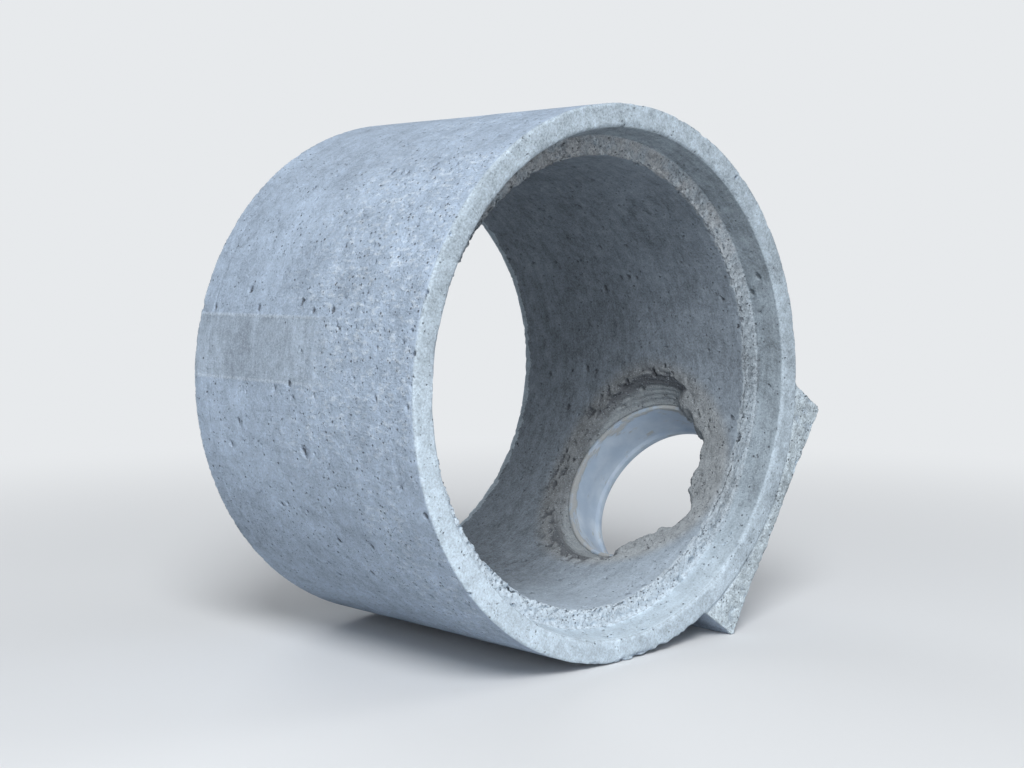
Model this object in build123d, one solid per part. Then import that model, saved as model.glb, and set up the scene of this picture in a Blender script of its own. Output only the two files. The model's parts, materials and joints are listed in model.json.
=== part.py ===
from build123d import *
from math import asin, atan2, cos, degrees, hypot, sin
import os

# A concrete street gully ring with a socket at one end, a spigot at the other and a pipe
# outlet through a flat pad on its side. It lies on its side as it comes to rest on a floor:
# its axis runs along Y, its socket faces -Y, and it has rolled towards +X until the pad's
# lower edge met the floor. Millimetres, +Z up, origin on the floor under the middle of its box.

# Ring
bore_diameter = 450.0
wall = 50.0
laying_length = 350.0  # from the rim to the shoulder round the spigot

# Socket, a shallow cone at the rim
rim_width = 24.0  # flat of the rim, from the mouth to the ring's outside
socket_depth = 33.0
socket_taper = 6.5  # how much its radius shrinks from mouth to foot

# Spigot, which enters the socket of the next ring
joint_side_gap = 4.0  # all round between spigot and socket wall
joint_end_gap = 3.0  # between the spigot's end and the socket's foot

# Pad, as long as the ring without its spigot
pad_proud = 17.0  # how far its face stands out past the ring
pad_width = 280.0

# Outlet, with a plastic sleeve cast into it
outlet_depth = 163.0  # from the rim to the outlet's axis
sleeve_bore = 188.0
sleeve_wall = 5.0
sleeve_setback = 9.0  # how far its inner end lies behind the bore, on the outlet's axis
lip_height = 3.0
lip_length = 6.0
cast_in_gap = 0.1  # film between the sleeve and the concrete
outlet_flare = 4.0  # how much wider the concrete opens at the bore than at the sleeve

# Edges
mouth_rounding = 5.0
rim_bevel = 2.0
spigot_bevel = 3.0
pad_rounding = 4.0
lip_bevel = 1.0

bore_radius = bore_diameter / 2
outer_radius = bore_radius + wall
mouth_radius = outer_radius - rim_width
foot_radius = mouth_radius - socket_taper
spigot_length = socket_depth - joint_end_gap
spigot_root_radius = mouth_radius - joint_side_gap
spigot_tip_radius = foot_radius - joint_side_gap
whole_length = laying_length + spigot_length
pad_reach = outer_radius + pad_proud  # from the ring's axis to the pad's face
sleeve_inner_radius = sleeve_bore / 2
sleeve_outer_radius = sleeve_inner_radius + sleeve_wall
sleeve_start = bore_radius + sleeve_setback
lip_radius = sleeve_inner_radius - lip_height
lip_foot = pad_reach - lip_length
opening_radius = sleeve_outer_radius + cast_in_gap

# At rest the rounding of the pad's lower edge touches the floor, as the ring itself does
edge_out = pad_reach - pad_rounding
edge_up = pad_width / 2 - pad_rounding
rest_roll = asin((outer_radius - pad_rounding) / hypot(edge_out, edge_up)) - atan2(edge_up, edge_out)
box_right = edge_out * cos(rest_roll) + edge_up * sin(rest_roll) + pad_rounding
axis_x = (outer_radius - box_right) / 2
resting_place = Pos(axis_x, -whole_length / 2, outer_radius) * Rot(0, degrees(rest_roll), 0)

# Before it is rolled the ring has its rim at Y = 0 and its outlet along +X
outlet_axis = Plane((0, outlet_depth, 0), x_dir=(0, 1, 0), z_dir=(1, 0, 0))


def make_turned(corners, roundings):
    """A solid turned about Y from an outline of (radius, place along Y) corners."""
    outline = FilletPolyline(*corners, radius=roundings, close=True)
    return revolve(make_face(outline), Axis.Y)


def make_ring_wall():
    """The round wall with its socket at the rim and its spigot at the other end."""
    corners = [
        (mouth_radius, 0),
        (outer_radius - rim_bevel, 0),
        (outer_radius, rim_bevel),
        (outer_radius, laying_length - rim_bevel),
        (outer_radius - rim_bevel, laying_length),
        (spigot_root_radius, laying_length),
        (spigot_tip_radius, whole_length - spigot_bevel),
        (spigot_tip_radius - spigot_bevel, whole_length),
        (bore_radius, whole_length),
        (bore_radius, socket_depth),
        (foot_radius, socket_depth),
    ]
    roundings = [mouth_rounding] + [0] * (len(corners) - 1)
    return make_turned(corners, roundings)


def make_pad():
    """The flat-faced block that the outlet leaves by, hollowed to lap the round wall."""
    root_radius = (mouth_radius + mouth_rounding + outer_radius) / 2
    root = Cylinder(root_radius, whole_length * 2, rotation=(90, 0, 0))
    block = Box(pad_reach, laying_length, pad_width, align=(Align.MIN, Align.MIN, Align.CENTER))
    face_edges = block.edges().filter_by(Axis.Y).group_by(Axis.X)[-1]
    return fillet(face_edges, pad_rounding) - root


def make_outlet_opening():
    """What the sleeve and the flare before it take out of the wall, along the outlet's axis."""
    upright = (Align.CENTER, Align.CENTER, Align.MIN)
    flare_start = bore_radius / 2
    flare_length = sleeve_start - flare_start
    flare_slope = outlet_flare / sleeve_setback
    through = Cylinder(opening_radius, pad_reach, align=upright)
    flare = Cone(opening_radius + flare_length * flare_slope, opening_radius, flare_length, align=upright)
    return through + Pos(0, 0, flare_start) * flare


def make_gully_ring():
    """The whole casting, as one solid."""
    casting = make_ring_wall() + make_pad()
    return resting_place * (casting - outlet_axis.location * make_outlet_opening())


def make_outlet_sleeve():
    """The plastic sleeve, flush with the pad's face, with a lip inside its outer end."""
    corners = [
        (sleeve_inner_radius, sleeve_start),
        (sleeve_outer_radius, sleeve_start),
        (sleeve_outer_radius, pad_reach),
        (lip_radius + lip_bevel, pad_reach),
        (lip_radius, pad_reach - lip_bevel),
        (lip_radius, lip_foot),
        (sleeve_inner_radius, lip_foot - lip_height),
    ]
    sleeve = make_turned(corners, [0] * len(corners))
    return resting_place * outlet_axis.location * Rot(90, 0, 0) * sleeve


os.makedirs("parts", exist_ok=True)
export_step(make_gully_ring(), "parts/gully_ring.step")
export_step(make_outlet_sleeve(), "parts/outlet_sleeve.step")
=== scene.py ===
import json
import math
from itertools import product

import bpy
import numpy as np
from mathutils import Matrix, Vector


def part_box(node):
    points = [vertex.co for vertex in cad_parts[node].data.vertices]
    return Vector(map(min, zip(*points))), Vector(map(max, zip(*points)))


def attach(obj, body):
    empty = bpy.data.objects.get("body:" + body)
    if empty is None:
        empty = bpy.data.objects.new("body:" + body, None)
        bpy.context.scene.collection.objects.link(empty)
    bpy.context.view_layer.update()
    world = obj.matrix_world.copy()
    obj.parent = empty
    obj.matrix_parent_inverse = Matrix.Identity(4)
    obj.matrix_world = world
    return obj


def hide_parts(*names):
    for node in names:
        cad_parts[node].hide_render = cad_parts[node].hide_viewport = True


# A concrete street gully ring, lying on its side, with a plastic sleeve in its outlet.
# Metres throughout. The ring's own frame has its origin on the ring's axis at the rim,
# X out through the outlet, Y along the axis away from the rim and Z across them.

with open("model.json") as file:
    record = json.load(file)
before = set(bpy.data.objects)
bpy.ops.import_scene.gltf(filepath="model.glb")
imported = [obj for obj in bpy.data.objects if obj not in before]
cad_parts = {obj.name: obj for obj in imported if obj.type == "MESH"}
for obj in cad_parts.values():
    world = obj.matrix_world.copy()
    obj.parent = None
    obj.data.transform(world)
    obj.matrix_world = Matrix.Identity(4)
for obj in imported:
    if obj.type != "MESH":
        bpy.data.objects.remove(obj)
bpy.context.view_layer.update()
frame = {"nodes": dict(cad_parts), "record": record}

MM = 0.001
mounts = {mount["name"]: mount for mount in frame["record"]["mounts"]}
ring_low, ring_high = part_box("gully_ring")

# Sizes of the ring, from the frame where it has them
rim_width = 24 * MM
socket_depth = 33 * MM
socket_taper = 6.5 * MM
spigot_length = 30 * MM
pad_proud = 17 * MM
pad_half_width = 140 * MM
bore_radius = mounts["shaft_bore"]["dims"]["r_mm"] * MM
axis_x, _, axis_z = mounts["shaft_bore"]["pos_m"]
outer_radius = axis_z
mouth_radius = outer_radius - rim_width
foot_radius = mouth_radius - socket_taper
whole_length = ring_high.y - ring_low.y
laying_length = whole_length - spigot_length
outlet_depth = mounts["outlet_bore"]["pos_m"][1] - ring_low.y
pad_reach = outer_radius + pad_proud

# Sizes of the sleeve and the opening it lies in
sleeve_wall = 5 * MM
sleeve_setback = 9 * MM  # how far its inner end lies behind the bore
sleeve_inner_radius = 94 * MM
sleeve_outer_radius = sleeve_inner_radius + sleeve_wall
sleeve_start = bore_radius + sleeve_setback
lip_height = 3 * MM
lip_length = 6 * MM
outlet_flare = 4 * MM  # how much wider the opening is at the bore than at the sleeve

# The ring's own frame
ring_origin = np.array([axis_x, ring_low.y, axis_z])
outward = np.array(mounts["outlet_bore"]["axis"])
along = np.array([0.0, 1.0, 0.0])
across = np.cross(outward, along)
ring_axes = np.stack([outward, along, across])
roll = math.atan2(-outward[2], outward[0])

# Marks, at angles round the ring from the outlet
seam_angles = (math.radians(-161.5), math.radians(-148.3))
strip_middle = sum(seam_angles) / 2  # of the smooth strip between the seams
strip_half = (seam_angles[1] - seam_angles[0]) / 2
seam_start = 140 * MM  # how far behind the rim the seams begin
ring_line = laying_length - 24 * MM  # place of the groove round the outside
pitted_angle = math.radians(-168)  # of the outside that has the most pits
porous_angle = math.radians(-95)  # of the bore that has the most bubbles
broken_angle = math.radians(-52)  # of the worst chips in the rim
brown_angle = math.radians(120)  # of the brown stretch of the socket's foot
painted_light_angle = math.radians(-85)  # of the stretch of the rim and the socket given painted light, with painted shade on the opposite side

# The ragged concrete edge that overhangs the sleeve on the rim's side: its turn round the
# outlet's axis in degrees, 0 towards the rim, and its distance from that axis in mm
ragged_edge = (
    (-88, 101), (-62, 91), (-45, 88), (-38, 89), (-31, 103), (-24, 103), (-16, 95), (-6, 80),
    (3, 75), (12, 80), (22, 85), (38, 92), (46, 86), (54, 92), (68, 89), (88, 101),
)


def to_ring(points):
    """Points of the frame, seen in the ring's own frame."""
    return (points - ring_origin) @ ring_axes.T


def from_ring(points):
    """Points of the ring's own frame, seen in the frame."""
    return points @ ring_axes + ring_origin


# Noise in space

# Large odd numbers and shifts that scramble the numbers of a cell
cell_factors = [np.uint32(factor) for factor in (374761393, 668265263, 3266489917)]
seed_factor = 2654435761
scrambles = ((15, 2246822519), (13, 3266489917))
last_shift = 16


def random_in(cells, seed):
    """A number from 0 to 1 for each whole-numbered cell of space."""
    x, y, z = (cells[:, i].astype(np.int64).astype(np.uint32) for i in range(3))
    mixed = x * cell_factors[0] + y * cell_factors[1] + z * cell_factors[2]
    mixed = mixed + np.uint32((seed * seed_factor) % 2 ** 32)
    for shift, factor in scrambles:
        mixed = (mixed ^ (mixed >> np.uint32(shift))) * np.uint32(factor)
    return (mixed ^ (mixed >> np.uint32(last_shift))) / 2.0 ** 32


def lumps(points, size, seed):
    """Smooth noise from -1 to 1, in lumps about size across."""
    # The points are turned, so that no face of the ring lies along the cells
    turned = np.stack(
        [
            points[:, 0] * 0.80 + points[:, 1] * 0.60,
            points[:, 1] * 0.64 - points[:, 0] * 0.48 + points[:, 2] * 0.60,
            points[:, 2] * 0.80 + points[:, 0] * 0.36 - points[:, 1] * 0.48,
        ],
        axis=1,
    )
    scaled = turned / size
    cells = np.floor(scaled)
    part = scaled - cells
    part = part * part * part * (part * (part * 6 - 15) + 10)
    total = np.zeros(len(points))
    for corner in product((0, 1), repeat=3):
        weight = np.ones(len(points))
        for i, step in enumerate(corner):
            weight *= part[:, i] if step else 1 - part[:, i]
        total += weight * random_in(cells + corner, seed)
    return total * 2 - 1


def roughness(points, size, seed, layers=3):
    """Noise from about -1 to 1 with finer lumps on its lumps."""
    total = np.zeros(len(points))
    for layer in range(layers):
        total += lumps(points, size / 2 ** layer, seed + layer) / 2 ** layer
    return total / 1.5


def smooth_step(values, start, end):
    """0 before start, 1 after end and smooth between them."""
    part = np.clip((values - start) / (end - start), 0, 1)
    return part * part * (3 - 2 * part)


def near(distance, reach):
    """1 at no distance, fading to 0 past reach."""
    return np.exp(-((distance / reach) ** 2) * 2)


def angle_from(angles, middle):
    """How far angles lie from a middle one, whichever way round."""
    return np.abs((angles - middle + math.pi) % (2 * math.pi) - math.pi)


# Meshes

def new_object(name, vertices, faces):
    """A mesh object of that name in the scene."""
    mesh = bpy.data.meshes.new(name)
    mesh.from_pydata([tuple(v) for v in vertices], [], [tuple(f) for f in faces])
    mesh.update()
    made = bpy.data.objects.new(name, mesh)
    bpy.context.scene.collection.objects.link(made)
    return made


def apply_modifiers(thing):
    """Puts the modifiers of a mesh object into its mesh."""
    graph = bpy.context.evaluated_depsgraph_get()
    old = thing.data
    thing.data = bpy.data.meshes.new_from_object(thing.evaluated_get(graph))
    thing.modifiers.clear()
    bpy.data.meshes.remove(old)


def vertex_arrays(mesh):
    """The places and normals of a mesh's vertices."""
    places = np.zeros(len(mesh.vertices) * 3)
    normals = np.zeros(len(mesh.vertices) * 3)
    mesh.vertices.foreach_get("co", places)
    mesh.vertices.foreach_get("normal", normals)
    return places.reshape(-1, 3), normals.reshape(-1, 3)


def grid_shell(name, front, back):
    """A closed shell between two grids of points of the same shape, rows by columns."""
    rows, columns = front.shape[:2]
    count = rows * columns
    vertices = np.concatenate([front.reshape(-1, 3), back.reshape(-1, 3)])
    faces = []
    for i, j in product(range(rows - 1), range(columns - 1)):
        a = i * columns + j
        b = a + 1
        c = b + columns
        d = a + columns
        faces.append((a, b, c, d))
        faces.append((a + count, d + count, c + count, b + count))
    border = [(0, j) for j in range(columns)]
    border += [(i, columns - 1) for i in range(1, rows)]
    border += [(rows - 1, j) for j in range(columns - 2, -1, -1)]
    border += [(i, 0) for i in range(rows - 2, 0, -1)]
    edge = [i * columns + j for i, j in border]
    for a, b in zip(edge, edge[1:] + edge[:1]):
        faces.append((b, a, a + count, b + count))
    return new_object(name, vertices, faces)


def joined(name, things):
    """One mesh object made of the meshes of several, which it takes out of the scene."""
    vertices = []
    faces = []
    for thing in things:
        start = len(vertices)
        vertices += [tuple(vertex.co) for vertex in thing.data.vertices]
        faces += [tuple(i + start for i in face.vertices) for face in thing.data.polygons]
        bpy.data.objects.remove(thing)
    return new_object(name, vertices, faces)


def remesh(thing, size):
    """Makes one closed skin of even squares of that size over a thing and what overlaps in it."""
    modifier = thing.modifiers.new("remesh", "REMESH")
    modifier.mode = "VOXEL"
    modifier.voxel_size = size
    apply_modifiers(thing)


def cut_down(thing, triangles):
    """Merges flat stretches until about that many triangles are left."""
    now = sum(len(face.vertices) - 2 for face in thing.data.polygons)
    modifier = thing.modifiers.new("decimate", "DECIMATE")
    modifier.ratio = min(1.0, triangles / now)
    apply_modifiers(thing)


def shade_by_area(thing):
    """Smooth shading in which wide faces count for more than the walls of the pits in them."""
    thing.data.shade_smooth()
    thing.modifiers.new("normals", "WEIGHTED_NORMAL")
    apply_modifiers(thing)


# The concrete ring

def make_ledge():
    """The tongue of concrete that overhangs the sleeve on the rim's side."""
    columns = 220
    rows = 16
    tooth_depth = 4.4 * MM
    root_depth = 26 * MM  # how far it reaches into the concrete round the sleeve
    thinning = math.radians(24)  # the stretch over which each end thins out
    edge_turns = np.radians([turn for turn, _ in ragged_edge])
    edge_radii = np.array([radius for _, radius in ragged_edge]) * MM
    turn = np.linspace(edge_turns[0], edge_turns[-1], columns)
    marks = 90 * MM * np.stack([np.cos(turn), np.sin(turn), turn * 0], axis=1)
    teeth = roughness(marks, 8 * MM, 31, 3) * tooth_depth
    inner = np.interp(turn, edge_turns, edge_radii) + teeth
    outer = sleeve_outer_radius + root_depth
    share = np.linspace(0, 1, rows)[:, None]
    radius = inner[None, :] + (outer - inner[None, :]) * share
    y = outlet_depth - radius * np.cos(turn)
    z = radius * np.sin(turn)
    back = np.full_like(z, sleeve_start - 0.3 * MM)
    full = smooth_step(edge_turns[-1] - np.abs(turn), 0, thinning)
    thin = smooth_step(radius - inner, -4 * MM, 7 * MM)
    front = back + (np.sqrt(bore_radius ** 2 - z ** 2) - back) * full * thin
    front = np.minimum(front, back - 0.5 * MM)
    front_points = from_ring(np.stack([front, y, z], axis=2))
    back_points = from_ring(np.stack([back, y, z], axis=2))
    return grid_shell("ledge", front_points, back_points)


def make_round(points):
    """Sets the points of the round skin and of the bore on their true circles."""
    radius = np.hypot(points[:, 0], points[:, 2])
    by_pad = (points[:, 0] > 0) & (np.abs(points[:, 2]) < pad_half_width + 2 * MM)
    for true_radius, skip in ((outer_radius, by_pad), (bore_radius, False)):
        close = (np.abs(radius - true_radius) < 0.7 * MM) & ~np.broadcast_to(skip, radius.shape)
        factor = np.where(close, true_radius / radius, 1)
        points[:, 0] *= factor
        points[:, 2] *= factor
    return points


class Skin:
    """The points of the ring's skin, in the ring's own frame, and how far each is worn down."""

    def __init__(self, points, normals):
        self.points = points
        self.normals = normals
        self.x, self.y, self.z = points.T
        self.radius = np.hypot(self.x, self.z)
        self.angle = np.arctan2(self.z, self.x)
        far_off = 1.0
        self.from_outlet = np.where(self.x > 0, np.hypot(self.y - outlet_depth, self.z), far_off)
        self.height = np.zeros(len(points))
        sways = [lumps(points, 6 * MM, seed) for seed in (91, 92, 93)]
        self.sway = np.stack(sways, axis=1) * 0.9 * MM

    def carve(self, weight, depth, size, seed, least=0.0, layers=3):
        """Takes off up to depth by a noise in lumps about size across, where it is above least."""
        here = np.flatnonzero(weight > 0.01)
        noise = roughness(self.points[here], size, seed, layers)
        self.height[here] -= weight[here] * depth * np.maximum(noise - least, 0)

    def pierce(self, cell, seed, share, smallest, largest, squeeze=1.35):
        """Opens the air bubbles that the surface cuts above their middle.

        Each cell of space may hold one bubble, and share says how likely that is at a place.
        A squeeze above 1 makes the bubbles shorter along the ring's axis, and the sway of the
        points makes them uneven.
        """
        stretch = np.array([1.0, squeeze, 1.0])
        place = (self.points + self.sway) * stretch
        facing = self.normals * stretch
        base = np.floor(place / cell - 0.5)
        slope = (facing ** 2).sum(1)
        depth = np.zeros(len(place))
        for corner in product((0, 1), repeat=3):
            cells = base + corner
            shift = np.stack([random_in(cells, seed + i) for i in range(3)], axis=1) - 0.5
            centre = (cells + 0.5 + 0.6 * shift) * cell
            size = smallest + (largest - smallest) * random_in(cells, seed + 3) ** 2
            gap = place - centre
            spare = size ** 2 - (gap ** 2).sum(1)
            under = (gap * facing).sum(1)
            here = np.flatnonzero((spare > 0) & (under > 0))
            chosen = random_in(cells[here], seed + 4) < share(centre[here] / stretch)
            here = here[chosen]
            root = np.sqrt(under[here] ** 2 + slope[here] * spare[here])
            reach = (under[here] + root) / slope[here]
            depth[here] = np.maximum(depth[here], reach)
        self.height -= depth


def wear_even(skin):
    """The slight waves and grain that the whole skin has."""
    everywhere = np.ones(len(skin.points))
    skin.carve(everywhere, 0.5 * MM, 110 * MM, 1, least=-1.0, layers=2)
    skin.carve(everywhere, 0.12 * MM, 7 * MM, 5, least=-1.0, layers=1)


def wear_edges(skin):
    """Worn and chipped arrises at the rim, the shoulder and the spigot's end."""
    mouth = np.hypot(skin.radius - mouth_radius - 2 * MM, skin.y - 1 * MM)
    skin.carve(near(mouth, 5 * MM), 2.0 * MM, 26 * MM, 21, least=-0.1)
    beside_pad = (skin.x > 0) & (np.abs(skin.z) < pad_half_width)
    rim = np.hypot(skin.radius - outer_radius, skin.y)
    skin.carve(near(rim, 3.5 * MM) * ~beside_pad, 4.5 * MM, 10 * MM, 25, least=0.1)
    broken = near(angle_from(skin.angle, broken_angle), 0.4) * ~beside_pad
    skin.carve(near(rim, 6 * MM) * broken, 8.0 * MM, 13 * MM, 22, least=0.05)
    shoulder = np.hypot(skin.radius - outer_radius, skin.y - laying_length)
    skin.carve(near(shoulder, 3 * MM), 3.0 * MM, 7 * MM, 28, least=0.15)
    end = np.abs(skin.y - whole_length)
    skin.carve(near(end, 4 * MM), 2.4 * MM, 9 * MM, 35)


def crumble_socket_foot(skin):
    """The gritty step at the foot of the socket and its ragged edge with the bore."""
    inside = skin.radius < foot_radius + 1 * MM
    step = near(skin.y - socket_depth, 3 * MM) * inside
    skin.carve(step, 1.8 * MM, 4 * MM, 11, least=-0.4, layers=2)
    edge = np.hypot(skin.radius - bore_radius, skin.y - socket_depth)
    skin.carve(near(edge, 6 * MM), 7.5 * MM, 6 * MM, 15, layers=2)
    skin.carve(near(edge, 9 * MM), 5.0 * MM, 17 * MM, 18, least=0.1)


def roughen_pad(skin):
    """The pad's rough front end and uneven sides and edges."""
    past_ring = smooth_step(skin.radius, outer_radius, outer_radius + 4 * MM)
    side = np.abs(np.abs(skin.z) - pad_half_width)
    face = np.abs(skin.x - pad_reach)
    front = near(skin.y, 3 * MM) * past_ring
    skin.carve(front, 2.2 * MM, 7 * MM, 41, least=-0.3)
    in_pad = (skin.x > 0) & (np.abs(skin.z) < pad_half_width)
    arc = near(np.hypot(skin.radius - outer_radius - 1 * MM, skin.y), 2.5 * MM) * in_pad
    skin.carve(arc, 1.6 * MM, 12 * MM, 45, least=-0.9, layers=2)
    back = near(skin.y - laying_length, 3 * MM) * past_ring
    for end in (front, back):
        skin.carve(end * near(np.minimum(side, face), 4 * MM), 5.0 * MM, 14 * MM, 44)
    skin.carve(past_ring, 0.9 * MM, 32 * MM, 47, least=-0.4, layers=2)
    long_edges = near(np.hypot(side, face), 6 * MM) * past_ring
    skin.carve(long_edges, 4.0 * MM, 18 * MM, 49, least=0.05)


def crumble_outlet(skin):
    """The broken edge round the outlet, torn worst on the side away from the rim."""
    ledge_tip = 88 * MM  # how far the ledge's tip and the torn stretch lie off the outlet's axis
    torn_middle = 118 * MM
    flare = sleeve_outer_radius + (sleeve_start - skin.x) * outlet_flare / sleeve_setback
    edge = np.hypot(skin.from_outlet - flare, skin.radius - bore_radius)
    away = smooth_step(skin.y, outlet_depth - 60 * MM, outlet_depth + 30 * MM)
    skin.carve(near(edge, 9 * MM) * (0.25 + away), 6.0 * MM, 11 * MM, 51)
    over_sleeve = skin.x < sleeve_start + 2 * MM
    tip = near(skin.from_outlet - ledge_tip, 14 * MM) * over_sleeve * (1 - away)
    skin.carve(tip, 2.4 * MM, 7 * MM, 54, least=-0.2)
    at_bore = skin.radius < bore_radius + 4 * MM
    beside = near(skin.from_outlet - torn_middle, 14 * MM) * at_bore
    skin.carve(beside * (0.2 + away), 10.0 * MM, 8 * MM, 57, least=0.15)
    in_flare = near(skin.from_outlet - flare, 3 * MM) * (skin.radius > bore_radius - 8 * MM)
    ridge_width = 6.5 * MM
    wander = lumps(skin.points, 40 * MM, 59) * 3
    ridges = 0.5 + 0.5 * np.sin(skin.x / ridge_width * 2 * math.pi + wander)
    skin.height -= in_flare * ridges * 0.7 * MM


def mark_by_mould(skin):
    """Fine ridges and a groove that the mould left on the outside."""
    outside = smooth_step(skin.radius, outer_radius - 6 * MM, outer_radius - 2 * MM)
    wander = lumps(skin.points, 45 * MM, 61) * 1.2 * MM
    for seam in seam_angles:
        beside = angle_from(skin.angle, seam) * outer_radius + wander
        shown = smooth_step(skin.y, seam_start - 30 * MM, seam_start + 30 * MM)
        skin.height += outside * shown * near(beside, 1.8 * MM) * 0.45 * MM
    skin.height -= outside * near(skin.y - ring_line + wander, 2.2 * MM) * 0.6 * MM


def bubble_share(usual):
    """A likeliness of air bubbles: more in patches, in the pitted band and round the outlet."""

    def share(centres):
        x, y, z = centres.T
        angle = np.arctan2(z, x)
        radius = np.hypot(x, z)
        outside = radius > (outer_radius + bore_radius) / 2
        patches = smooth_step(lumps(centres, 85 * MM, 77), -0.5, 0.7)
        pitted = near(angle_from(angle, pitted_angle), 0.45)
        pitted += 0.5 * smooth_step(lumps(centres, 140 * MM, 88), 0.1, 0.5)
        band = pitted * smooth_step(y, 260 * MM, 150 * MM) * outside
        strip = np.abs(angle - strip_middle) < strip_half
        smooth = outside & strip & (y > seam_start)
        porous = near(angle_from(angle, porous_angle), 1.2) * ~outside
        beside_outlet = near(np.hypot(y - outlet_depth, z) - 116 * MM, 14 * MM)
        torn = beside_outlet * (x > 0) * ~outside
        pad = (radius > outer_radius + 3 * MM) * (0.4 + (y < 12 * MM))
        foot = near(y - socket_depth, 6 * MM) * (radius < foot_radius)
        likely = 0.28 + 0.75 * patches + 1.1 * band + porous + 1.8 * torn + pad + foot
        return usual * np.where(smooth, 0.12, likely)

    return share


def open_bubbles(skin):
    """Air bubbles of three sizes, the largest of them drawn out round the ring."""
    skin.pierce(10 * MM, 101, bubble_share(0.55), 1.4 * MM, 2.4 * MM)
    skin.pierce(17 * MM, 201, bubble_share(0.60), 2.0 * MM, 4.2 * MM)
    skin.pierce(34 * MM, 301, bubble_share(0.45), 3.5 * MM, 6.0 * MM, squeeze=1.7)


def worn_places(skin):
    """Where the skin's points end up in the frame, inside the ring's box."""
    # The concrete that holds the sleeve keeps its shape
    held = smooth_step(skin.from_outlet - sleeve_outer_radius, 5 * MM, 1.5 * MM)
    held = held * smooth_step(skin.x, sleeve_start - 3 * MM, sleeve_start - 1 * MM)
    # The pad's lower edge, which the ring stands on, keeps its shape down to the floor
    standing = smooth_step(from_ring(skin.points)[:, 2], 5 * MM, 1.5 * MM)
    standing = standing * (skin.radius > outer_radius + 3 * MM)
    height = skin.height * (1 - np.maximum(held, standing)) + standing * 0.3 * MM
    moved = from_ring(skin.points + skin.normals * height[:, None])
    return np.clip(moved, np.array(ring_low) + 0.05 * MM, ring_high)


def make_concrete_ring():
    """The ring with its pores, worn edges and crumbled outlet, over the shape in the frame."""
    voxel = 1.35 * MM
    triangles = 194000
    plain = bpy.data.objects.new("plain_ring", frame["nodes"]["gully_ring"].data.copy())
    ring = joined("concrete_ring", [plain, make_ledge()])
    remesh(ring, voxel)
    places, normals = vertex_arrays(ring.data)
    skin = Skin(make_round(to_ring(places)), normals @ ring_axes.T)
    wear_even(skin)
    wear_edges(skin)
    crumble_socket_foot(skin)
    roughen_pad(skin)
    crumble_outlet(skin)
    mark_by_mould(skin)
    open_bubbles(skin)
    ring.data.vertices.foreach_set("co", worn_places(skin).ravel())
    ring.data.update()
    cut_down(ring, triangles)
    shade_by_area(ring)
    return ring


# The plastic sleeve

def sleeve_outline():
    """The sleeve's section, as corners of (radius, place along the outlet's axis)."""
    bevel = 1 * MM
    soft = 0.3 * bevel
    inner = sleeve_inner_radius
    outer = sleeve_outer_radius
    lip = sleeve_inner_radius - lip_height
    start = sleeve_start
    end = pad_reach
    return [
        (inner + bevel, start),
        (outer - bevel, start),
        (outer, start + bevel),
        (outer, end),
        (lip + bevel, end),
        (lip + soft, end - soft),
        (lip, end - bevel),
        (lip, end - lip_length),
        (lip + soft, end - lip_length - bevel),
        (inner - soft, end - lip_length - lip_height),
        (inner, end - lip_length - lip_height - bevel),
        (inner, start + 30 * MM),
        (inner, start + bevel),
    ]


def make_sleeve():
    """The sleeve in the outlet, a turned tube with a lip inside its outer end."""
    segments = 192
    outline = sleeve_outline()
    turns = np.arange(segments) / segments * 2 * math.pi
    rings = []
    for radius, out in outline:
        y = outlet_depth + radius * np.cos(turns)
        z = radius * np.sin(turns)
        rings.append(np.stack([np.full(segments, out), y, z], axis=1))
    vertices = from_ring(np.concatenate(rings))
    faces = []
    for i, j in product(range(len(outline)), range(segments)):
        row = i * segments
        next_row = (i + 1) % len(outline) * segments
        next_j = (j + 1) % segments
        faces.append((row + j, row + next_j, next_row + next_j, next_row + j))
    sleeve = new_object("sleeve_tube", vertices, faces)
    sleeve.data.shade_smooth()
    sleeve.data.set_sharp_from_angle(angle=math.radians(50))
    return sleeve


# Materials

class Value:
    """A number, colour or place in a paint. Arithmetic with it adds nodes to the paint."""

    def __init__(self, paint, socket):
        self.paint = paint
        self.socket = socket

    def __add__(self, other):
        return self.paint.math("ADD", self, other)

    def __radd__(self, other):
        return self.paint.math("ADD", other, self)

    def __sub__(self, other):
        return self.paint.math("SUBTRACT", self, other)

    def __rsub__(self, other):
        return self.paint.math("SUBTRACT", other, self)

    def __mul__(self, other):
        return self.paint.math("MULTIPLY", self, other)

    def __rmul__(self, other):
        return self.paint.math("MULTIPLY", other, self)

    def __truediv__(self, other):
        return self.paint.math("DIVIDE", self, other)

    def __abs__(self):
        return self.paint.math("ABSOLUTE", self)


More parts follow.
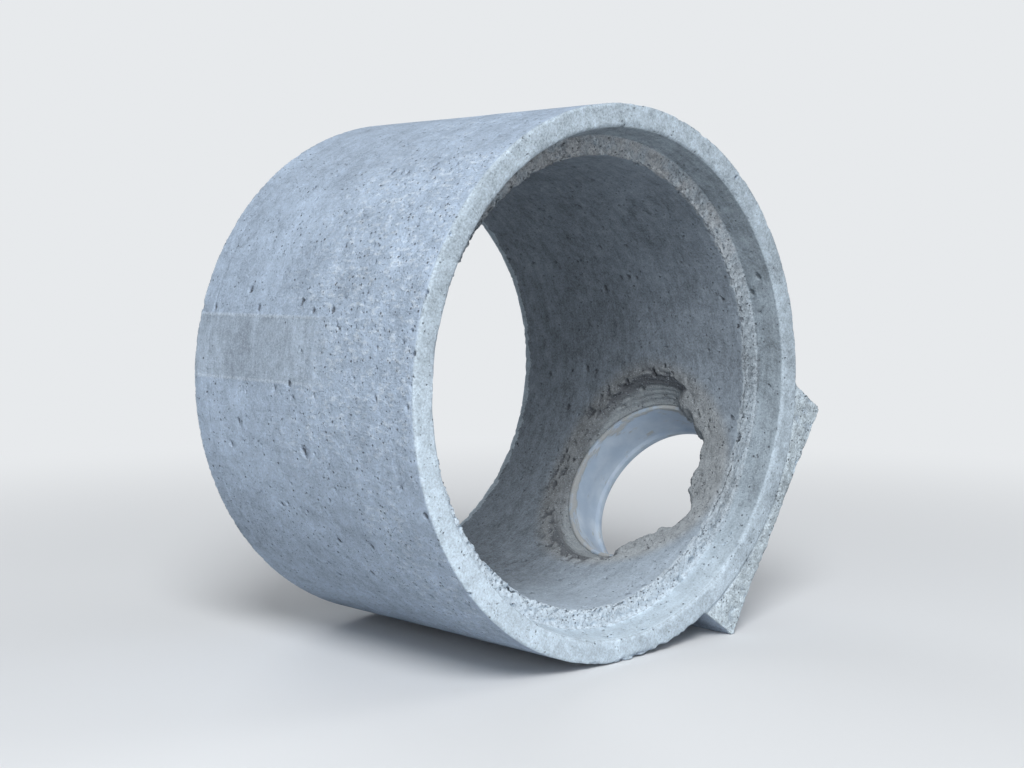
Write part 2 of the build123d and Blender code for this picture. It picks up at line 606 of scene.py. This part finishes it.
class Paint:
    """A material whose calls add nodes and give the value that they make."""

    def __init__(self, name):
        self.material = bpy.data.materials.new(name)
        self.material.use_nodes = True
        self.tree = self.material.node_tree
        self.shader = self.tree.nodes["Principled BSDF"]

    def put(self, value, socket):
        """Links a value to an input, or sets the input to a plain number or colour."""
        if isinstance(value, Value):
            self.tree.links.new(value.socket, socket)
        elif isinstance(value, tuple) and socket.type == "RGBA":
            socket.default_value = (*value, 1)
        else:
            socket.default_value = value

    def node(self, kind, inputs=(), **settings):
        """A new node with those settings, and with those inputs by name or number."""
        made = self.tree.nodes.new(kind)
        for key, value in settings.items():
            setattr(made, key, value)
        for key, value in dict(inputs).items():
            self.put(value, made.inputs[key])
        return made

    def value(self, kind, inputs, output=0, **settings):
        """One output of a new node, by name or number."""
        return Value(self, self.node(kind, inputs, **settings).outputs[output])

    def math(self, operation, *values):
        """The result of one sum on numbers."""
        return self.value("ShaderNodeMath", enumerate(values), operation=operation)

    def capped(self, value):
        """A value, 1 at most."""
        return self.math("MINIMUM", value, 1.0)

    def step(self, value, start, end, low=0.0, high=1.0):
        """Low before start, high after end and smooth between them."""
        inputs = enumerate((value, start, end, low, high))
        return self.value("ShaderNodeMapRange", inputs, interpolation_type="SMOOTHSTEP")

    def fall(self, value, start, end):
        """1 before start, 0 after end and smooth between them."""
        return self.step(value, start, end, 1.0, 0.0)

    def between(self, value, start, end, soft):
        """1 from start to end, fading to 0 over soft outside them."""
        return self.step(value, start - soft, start) * self.fall(value, end, end + soft)

    def scaled(self, vector, x, y, z):
        """A place with its sides scaled."""
        return self.value("ShaderNodeVectorMath", {0: vector, 1: (x, y, z)}, operation="MULTIPLY")

    def noise(self, vector, size, detail=3.0, rough=0.5):
        """Noise from 0 to 1 in lumps about size across."""
        inputs = {"Vector": vector, "Scale": 1 / size, "Detail": detail, "Roughness": rough}
        return self.value("ShaderNodeTexNoise", inputs, "Fac")

    def swing(self, noise, amount):
        """A noise from 0 to 1 turned into one from minus to plus half of amount."""
        return (noise - 0.5) * amount

    def spots(self, vector, size, radius, share, seed):
        """1 in round spots of up to that radius, one per cell of that size, in a share of cells."""
        shift = (seed, seed * 0.7, -seed)
        moved = self.value("ShaderNodeVectorMath", {0: vector, 1: shift}, operation="ADD")
        cells = self.node("ShaderNodeTexVoronoi", {"Vector": moved, "Scale": 1 / size})
        draws = self.node("ShaderNodeSeparateColor", {"Color": Value(self, cells.outputs["Color"])})
        chance = Value(self, draws.outputs["Red"])
        width = Value(self, draws.outputs["Green"])
        wide = (0.45 + 0.55 * width) * (radius / size)
        inside = 1.0 - self.step(Value(self, cells.outputs["Distance"]) / wide, 0.5, 1.2)
        return inside * self.math("LESS_THAN", chance, share)

    def mix(self, factor, a, b):
        """Colour a at factor 0 and colour b at factor 1."""
        # Of the node's sockets, inputs 6 and 7 and output 2 are the ones for colours
        inputs = {0: factor, 6: a, 7: b}
        return self.value("ShaderNodeMix", inputs, 2, data_type="RGBA", blend_type="MIX")

    def shaded(self, colour, amount):
        """A colour made lighter or darker by a number."""
        inputs = {0: colour, "Scale": amount}
        return self.value("ShaderNodeVectorMath", inputs, operation="SCALE")

    def finish(self, colour, height, rough):
        """Gives the shader its colour, its relief in metres and its roughness."""
        inputs = {"Height": height, "Distance": 1.0, "Strength": 1.0}
        self.put(colour, self.shader.inputs["Base Color"])
        self.put(self.value("ShaderNodeBump", inputs), self.shader.inputs["Normal"])
        self.put(rough, self.shader.inputs["Roughness"])


class RingPlace:
    """Where a point of a paint lies on the ring, in the ring's own frame."""

    def __init__(self, paint):
        inputs = {
            "Vector": paint.value("ShaderNodeTexCoord", (), "Object"),
            "Location": tuple(ring_origin),
            "Rotation": (0, roll, 0),
        }
        self.paint = paint
        self.place = paint.value("ShaderNodeMapping", inputs, vector_type="TEXTURE")
        sides = paint.node("ShaderNodeSeparateXYZ", {"Vector": self.place})
        self.x, self.y, self.z = (Value(paint, side) for side in sides.outputs)
        self.radius = self.distance(self.x, self.z)
        self.from_outlet = self.distance(self.z, self.y - outlet_depth)
        self.cosine = self.x / self.radius
        self.sine = self.z / self.radius

    def distance(self, a, b):
        """How far a point lies off by its two distances square to each other."""
        return self.paint.math("SQRT", a * a + b * b)

    def around(self, length):
        """The place with its way round the ring measured at the outside and shrunk by length."""
        turn = outer_radius / length
        inputs = {"X": self.cosine * turn, "Y": self.y, "Z": self.sine * turn}
        return self.paint.value("ShaderNodeCombineXYZ", inputs)

    def facing(self, angle, full, none):
        """1 within full radians of an angle round the ring, fading to 0 at none."""
        cosine = self.cosine * math.cos(angle) + self.sine * math.sin(angle)
        return self.paint.step(cosine, math.cos(none), math.cos(full))


# Colours of the concrete; their bluish tint is painted sky light on grey concrete
inside_colour = (0.343, 0.410, 0.468)
outside_colour = (0.360, 0.446, 0.562)
rim_colour = (0.444, 0.530, 0.608)
pad_front_colour = (0.485, 0.566, 0.625)
# darker than the socket's concrete, partly by painted shade of the bore's hollow
bore_colour_with_shade = (0.224, 0.267, 0.314)
foot_colour = (0.405, 0.470, 0.530)
brown_foot_colour = (0.405, 0.425, 0.445)
outlet_colour = (0.275, 0.285, 0.285)
strip_colour = (0.31, 0.365, 0.42)
# a painted highlight along the mould's seam ridges
seam_highlight_colour = (0.52, 0.60, 0.68)
laitance_colour = (0.565, 0.645, 0.73)
# near black, for painted shade in the pits with some dirt
pit_shade_and_dirt_colour = (0.085, 0.095, 0.11)
sand_colour = (0.52, 0.585, 0.64)


class ConcretePaint(Paint):
    """Rough cast concrete: grey tinted bluish by painted sky light, lighter at the rim, with
    painted light on one side and painted shade on the other, and dark in its pits by painted shade
    with some dirt.
    """

    def __init__(self):
        super().__init__("cast_concrete")
        self.ring = RingPlace(self)
        self.make_noises()
        self.find_parts()
        self.find_marks()
        self.make_spots()
        colour = self.shaded(self.plain_colour(), self.brightness())
        # Pits painted dark: painted shade in the holes, with some dirt
        colour = self.mix(self.pit_shade_and_dirt(), colour, pit_shade_and_dirt_colour)
        colour = self.mix(self.grains * self.rough_parts * 0.45, colour, sand_colour)
        self.finish(colour, self.relief(), self.step(self.clouds, 0.3, 0.7, 0.82, 0.93))
        self.shader.inputs["Specular IOR Level"].default_value = 0.3

    def make_noises(self):
        """Noises from the widest to the finest, then two drawn out round the ring."""
        ring = self.ring
        self.clouds = self.noise(ring.place, 140 * MM, 3, 0.6)
        self.patches = self.noise(ring.place, 38 * MM, 4, 0.62)
        self.blotches = self.noise(ring.place, 11 * MM, 3, 0.6)
        self.grain = self.noise(ring.place, 2.2 * MM, 3, 0.7)
        self.sand = self.noise(ring.place, 0.9 * MM, 2, 0.6)
        self.ripples = self.noise(self.scaled(ring.around(1.0), 1.0, 0.45, 1.0), 4.5 * MM, 3, 0.6)
        self.drags = self.noise(ring.around(9.0), 6 * MM, 3, 0.65)

    def find_parts(self):
        """1 on each part of the skin and 0 off it."""
        x, y, radius = self.ring.x, self.ring.y, self.ring.radius
        ragged_y = y + self.swing(self.blotches, 14 * MM) + self.swing(self.grain, 5 * MM)
        self.outside = self.step(radius, outer_radius - 11 * MM, outer_radius - 9 * MM)
        self.round_skin = self.outside * self.step(y, 3 * MM, 7 * MM)
        past_mouth = self.step(radius, mouth_radius - 3 * MM, mouth_radius)
        self.rim = self.fall(y, 1.5 * MM, 5 * MM) * past_mouth
        in_mouth = self.fall(radius, mouth_radius + 4 * MM, mouth_radius + 8 * MM)
        self.in_socket = self.between(y, 4 * MM, socket_depth - 1.5 * MM, 1 * MM) * in_mouth
        foot = self.between(ragged_y, socket_depth - 3.5 * MM, socket_depth + 3.5 * MM, 1 * MM)
        self.foot = foot * self.fall(radius, foot_radius, foot_radius + 2 * MM)
        bore = self.between(ragged_y, socket_depth + 5 * MM, whole_length - 9 * MM, 1.5 * MM)
        self.bore = bore * self.fall(radius, bore_radius + 9 * MM, bore_radius + 14 * MM)
        off_bore = self.step(radius, bore_radius + 8 * MM, bore_radius + 12 * MM)
        end_face = self.step(y, whole_length - 4 * MM, whole_length - 1.5 * MM)
        past_shoulder = self.step(y, laying_length - 5 * MM, laying_length - 1 * MM)
        self.spigot = past_shoulder * self.capped(off_bore + end_face)
        self.past_ring = self.step(radius, outer_radius + 0.5 * MM, outer_radius + 2 * MM)
        self.pad_front = self.rim * self.past_ring
        self.pad_face = self.past_ring * self.step(x, pad_reach - 9 * MM, pad_reach - 8 * MM)

    def find_marks(self):
        """1 at each kind of mark on the skin and 0 off it."""
        ring = self.ring
        seams_shown = self.step(ring.y, seam_start - 40 * MM, seam_start + 40 * MM)
        strip = ring.facing(strip_middle, strip_half - 0.006, strip_half + 0.006)
        self.strip = strip * self.round_skin * seams_shown
        first_seam, second_seam = (ring.facing(seam, 0.002, 0.008) for seam in seam_angles)
        broken_line = self.step(self.grain, 0.3, 0.6)
        # Lines along the seam ridges, for their painted highlight
        self.seams = (first_seam + second_seam) * self.round_skin * seams_shown * broken_line
        cloudy = self.step(self.clouds, 0.50, 0.60, 0.0, 0.6)
        pitted = ring.facing(pitted_angle, 0.15, 0.75) + cloudy
        band = self.capped(pitted) * self.fall(ring.y, 100 * MM, 250 * MM) * self.round_skin
        self.band = band * (1.0 - self.strip) * (1.0 - self.past_ring)
        by_sleeve = self.between(ring.from_outlet, 60 * MM, sleeve_outer_radius + 20 * MM, 18 * MM)
        self.by_outlet = by_sleeve * self.step(ring.x, 120 * MM, 150 * MM) * (1.0 - self.outside)
        self.rough_parts = self.capped(
            self.foot * 0.8 + self.by_outlet + self.pad_front + self.spigot * 0.6)
        self.dragged = self.bore + self.in_socket

    def make_spots(self):
        """Fine pits, denser in patches, in the band and on the broken parts, and grains of sand."""
        density = (
            self.step(self.patches, 0.40, 0.62, 0.14, 0.50)
            + self.band * 0.35
            + self.rough_parts * 0.3
            + self.capped(self.foot + self.pad_front) * 0.3
            + self.strip * -0.3
            + self.rim * (1.0 - self.past_ring) * -0.08)
        place = self.ring.place
        self.specks = self.spots(place, 2.6 * MM, 0.75 * MM, density * 1.1, 0.3)
        self.pits = self.spots(place, 5.5 * MM, 1.35 * MM, density * 0.9, 1.7)
        self.grains = self.spots(place, 2.4 * MM, 1.0 * MM, 0.6, 4.1)

    def plain_colour(self):
        """The colour of each part and mark."""
        colour = self.mix(self.outside, inside_colour, outside_colour)
        colour = self.mix(self.capped(self.rim + self.spigot * 0.8), colour, rim_colour)
        colour = self.mix(self.pad_front, colour, pad_front_colour)
        colour = self.mix(self.bore, colour, bore_colour_with_shade)
        brown = self.ring.facing(brown_angle, 0.4, 1.3) * self.step(self.patches, 0.38, 0.58) * 0.8
        colour = self.mix(self.foot, colour, self.mix(brown, foot_colour, brown_foot_colour))
        colour = self.mix(self.by_outlet * 0.6, colour, outlet_colour)
        colour = self.mix(self.strip * 0.45, colour, strip_colour)
        # Painted highlight along the seam ridges
        colour = self.mix(self.seams * 0.45, colour, seam_highlight_colour)
        laitance = self.step(self.ripples, 0.5, 0.66) * self.capped(self.band + 0.12)
        return self.mix(laitance * self.round_skin * 0.6, colour, laitance_colour)

    def brightness(self):
        """How much lighter or darker than its plain colour the concrete is, painted light and
        painted shade included.
        """
        # Painted light on one side of the rim, socket, foot and the bore near the mouth, and
        # painted shade on the other side
        painted_light_side = self.ring.facing(painted_light_angle, 0.5, 1.7) - 0.3
        near_mouth = self.fall(self.ring.y, socket_depth, 240 * MM) * self.bore
        painted_light_weights = self.rim * 0.36 + self.in_socket * 0.8 + self.foot * 0.6 + near_mouth * 0.8
        gritty = self.capped(
            self.foot * 0.5 + self.rim * 0.45 + self.pad_front * 0.5 + self.bore * 0.3)
        grit = self.swing(self.blotches, 0.5) + self.swing(self.grain, 0.8)
        return (
            1.0
            + self.swing(self.clouds, 0.55)
            + self.swing(self.patches, 0.66)
            + self.swing(self.blotches, 0.62)
            + self.swing(self.grain, 1.0)
            + self.swing(self.sand, 0.36)
            + painted_light_side * painted_light_weights
            # The bore lighter near the mouth and darker towards its far end: partly its own tone,
            # partly painted shade
            + near_mouth * 0.44
            + self.bore * -0.22
            + grit * gritty
            + self.swing(self.drags, 0.5) * self.capped(self.dragged + self.strip + 0.35))

    def pit_shade_and_dirt(self):
        """How far the concrete is darkened in its pits, by painted shade with some dirt: fine ones,
        and the deep ones of the mesh.
        """
        y, radius = self.ring.y, self.ring.radius
        deep_outside = self.step(outer_radius - radius, 1.3 * MM, 2.8 * MM) * self.round_skin
        deep_outside *= self.step(radius, outer_radius - 9 * MM, outer_radius - 8.5 * MM)
        deep_outside *= self.fall(y, laying_length - 5 * MM, laying_length - 3 * MM)
        deep_inside = self.step(radius - bore_radius, 1.3 * MM, 3.4 * MM) * self.bore
        deep_inside *= self.step(self.ring.from_outlet, 104 * MM, 112 * MM)
        deep_in_pad = self.step(pad_reach - self.ring.x, 1.8 * MM, 3.6 * MM) * self.pad_face
        deep_in_pad *= self.between(y, 8 * MM, laying_length - 8 * MM, 3 * MM)
        deep_in_pad *= self.fall(abs(self.ring.z), pad_half_width - 9 * MM, pad_half_width - 6 * MM)
        sunk = self.capped(deep_outside + deep_inside + deep_in_pad)
        return self.capped(self.specks * 0.55 + self.pits * 0.75 + sunk * 0.72)

    def relief(self):
        """The height of the fine roughness that is finer than the mesh, in metres."""
        return (
            self.blotches * (1.0 * MM)
            + self.grain * (0.75 * MM)
            + self.sand * (0.25 * MM)
            + self.ripples * self.capped(self.band + 0.15) * (1.6 * MM)
            + self.drags * self.capped(self.dragged + 0.3) * (0.6 * MM)
            + self.grains * self.rough_parts * (0.8 * MM)
            + self.specks * (-0.6 * MM)
            + self.pits * (-1.3 * MM))


class SleevePaint(Paint):
    """Smooth pale blue plastic with smears of mortar at its inner end."""

    def __init__(self):
        super().__init__("sleeve_plastic")
        ring = RingPlace(self)
        drag = self.noise(self.scaled(ring.place, 1.0, 0.35, 0.35), 9 * MM, 4, 0.6)
        inner_end = self.fall(ring.x, sleeve_start, sleeve_start + 22 * MM)
        smear = self.step(drag + inner_end * 0.20, 0.59, 0.73)
        dust = self.noise(ring.place, 30 * MM, 4, 0.6)
        plastic = self.mix(self.step(dust, 0.35, 0.7), (0.345, 0.435, 0.55), (0.445, 0.53, 0.625))
        grain = self.noise(ring.place, 1.4 * MM, 2)
        mortar = self.mix(grain, (0.28, 0.30, 0.31), (0.46, 0.48, 0.49))
        height = smear * (0.5 * MM) + grain * smear * (0.2 * MM)
        self.finish(self.mix(smear, plastic, mortar), height, self.step(smear, 0.0, 1.0, 0.38, 0.9))


# The stage

backdrop_colour = (0.80, 0.82, 0.84)
seen_floor_colour = (0.74, 0.76, 0.78)
lit_floor_colour = (0.56, 0.57, 0.58)  # what the floor reflects onto the ring
sky_colour = (0.93, 0.96, 1.0)
sky_strength = 0.30

lamp_target = (0.0, 0.0, 0.25)
camera_offset = (-1.157, -1.052, 0.118)  # from the middle of the rim
camera_target = (0.0, 0.0, 0.265)

# Name, place, width in metres and watts of each lamp
lamps = (
    ("key", (-2.0, -2.2, 2.9), 1.8, 125),
    ("front", (-2.6, -2.6, 0.7), 2.0, 30),
    ("side", (3.0, -1.2, 2.4), 2.0, 22),
    ("back", (0.8, 3.4, 2.4), 2.0, 28),
)


def make_floor():
    """A wide pale floor that fades into the background."""
    segments = 96
    reach = 9.0
    fade_start = 0.5
    fade_end = 1.9
    turns = np.arange(segments) / segments * 2 * math.pi
    vertices = np.stack([reach * np.cos(turns), reach * np.sin(turns), 0 * turns], axis=1)
    floor = new_object("floor", vertices, [tuple(range(segments))])
    paint = Paint("pale_floor")
    seen = paint.value("ShaderNodeLightPath", (), "Is Camera Ray")
    colour = paint.mix(seen, lit_floor_colour, seen_floor_colour)
    paint.put(colour, paint.shader.inputs["Base Color"])
    paint.shader.inputs["Roughness"].default_value = 0.9
    place = paint.value("ShaderNodeTexCoord", (), "Object")
    distance = paint.value("ShaderNodeVectorMath", {0: place}, "Value", operation="LENGTH")
    far = paint.step(distance, fade_start, fade_end)
    plain = Value(paint, paint.shader.outputs[0])
    glow = paint.value("ShaderNodeEmission", {"Color": backdrop_colour})
    blend = paint.value("ShaderNodeMixShader", {0: far * seen, 1: plain, 2: glow})
    paint.put(blend, paint.tree.nodes["Material Output"].inputs["Surface"])
    floor.data.materials.append(paint.material)


def make_world():
    """Even light from all round, and a pale background behind the floor."""
    world = bpy.data.worlds.new("studio")
    bpy.context.scene.world = world
    world.use_nodes = True
    tree = world.node_tree
    light = tree.nodes["Background"]
    light.inputs["Color"].default_value = (*sky_colour, 1)
    light.inputs["Strength"].default_value = sky_strength
    backdrop = tree.nodes.new("ShaderNodeBackground")
    backdrop.inputs["Color"].default_value = (*backdrop_colour, 1)
    rays = tree.nodes.new("ShaderNodeLightPath")
    blend = tree.nodes.new("ShaderNodeMixShader")
    tree.links.new(rays.outputs["Is Camera Ray"], blend.inputs[0])
    tree.links.new(light.outputs[0], blend.inputs[1])
    tree.links.new(backdrop.outputs[0], blend.inputs[2])
    tree.links.new(blend.outputs[0], tree.nodes["World Output"].inputs["Surface"])


def place_facing(name, data, place, target):
    """A new object in the scene for a lamp or camera, looking from its place at the target."""
    made = bpy.data.objects.new(name, data)
    bpy.context.scene.collection.objects.link(made)
    made.location = place
    made.rotation_euler = (Vector(target) - Vector(place)).to_track_quat("-Z", "Y").to_euler()
    return made


def make_lamp(name, place, width, watts):
    """A round soft lamp that shines on the ring."""
    lamp = bpy.data.lights.new(name, "AREA")
    lamp.shape = "DISK"
    lamp.size = width
    lamp.energy = watts
    place_facing(name, lamp, place, lamp_target)


def make_camera():
    """The photograph's place, level and direction from the ring, with a longer lens."""
    camera = bpy.data.cameras.new("camera")
    camera.sensor_width = 36
    camera.lens = 56
    place = tuple(ring_origin + camera_offset)
    bpy.context.scene.camera = place_facing("camera", camera, place, camera_target)


def make_part():
    """The ring and the sleeve, each in the place of its node."""
    ring = make_concrete_ring()
    ring.data.materials.append(ConcretePaint().material)
    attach(ring, "root")
    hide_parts("gully_ring")
    sleeve = make_sleeve()
    sleeve.data.materials.append(SleevePaint().material)
    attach(sleeve, "root")
    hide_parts("outlet_sleeve")


make_part()
make_floor()
make_world()
for name, place, width, watts in lamps:
    make_lamp(name, place, width, watts)
make_camera()
bpy.context.scene.view_settings.view_transform = "Standard"
